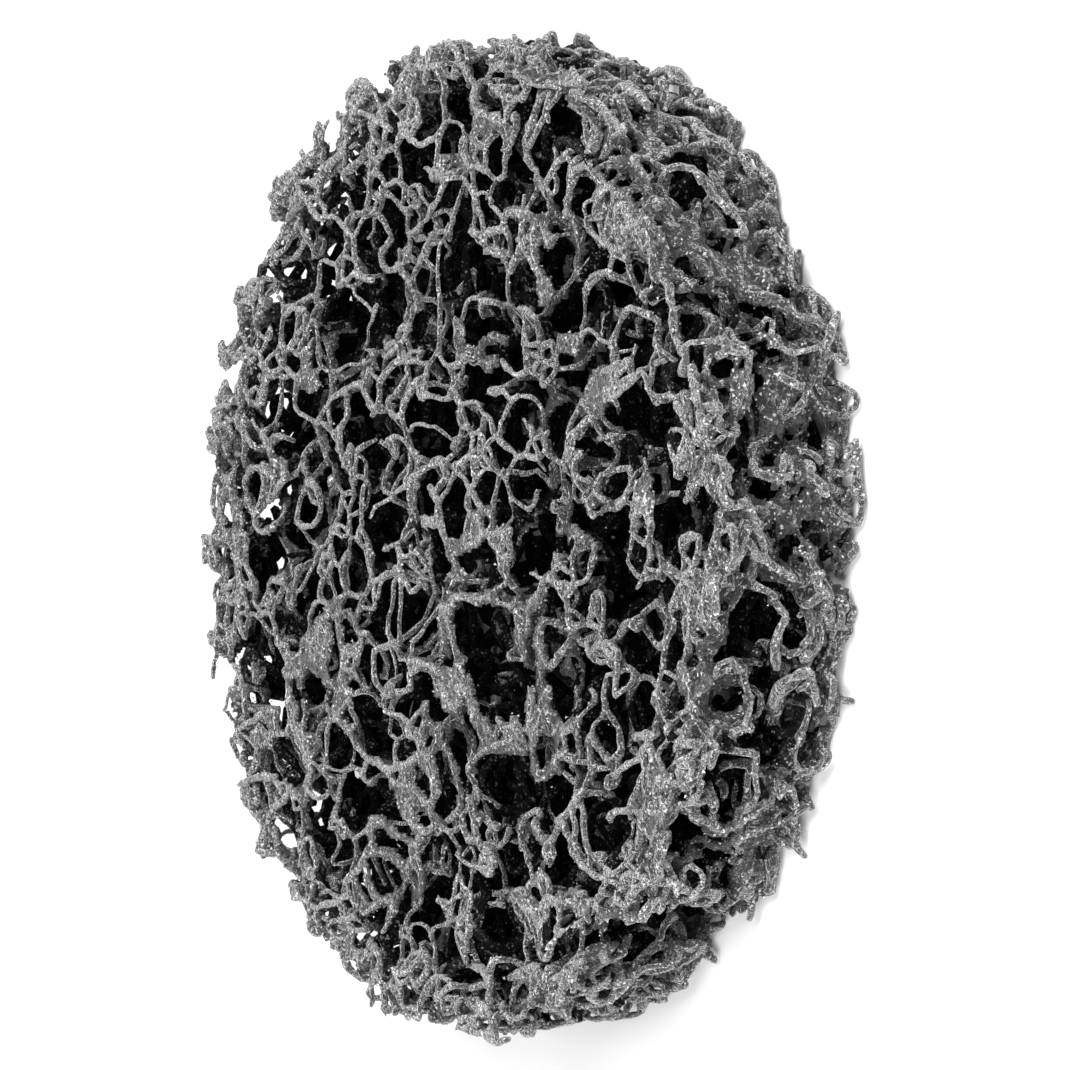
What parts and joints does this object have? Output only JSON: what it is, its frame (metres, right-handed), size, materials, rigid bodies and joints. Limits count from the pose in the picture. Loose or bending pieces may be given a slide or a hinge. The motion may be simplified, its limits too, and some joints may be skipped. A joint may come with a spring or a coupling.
{
  "type": "non-woven cleaning disc",
  "caption": "Round open-web cleaning disc of coiled, grit-coated nylon filaments bonded where they cross, with two flat faces and a cut rim, for stripping rust and paint.",
  "frame": {"origin": "centre of the back face, at the bottom of the bounding box, where the disc lies on a table", "axes": "+Z along the disc's axis, from the back face to the working face; X and Y lie in the disc's plane"},
  "size_m": [0.0749, 0.0748, 0.013],
  "materials": {
    "coated_fibre": "dark grey nylon filament coated with resin and fine dark grit, dull with small glints"
  },
  "bodies": {
    "root": {"filament_web": "coated_fibre"}
  },
  "joints": []
}
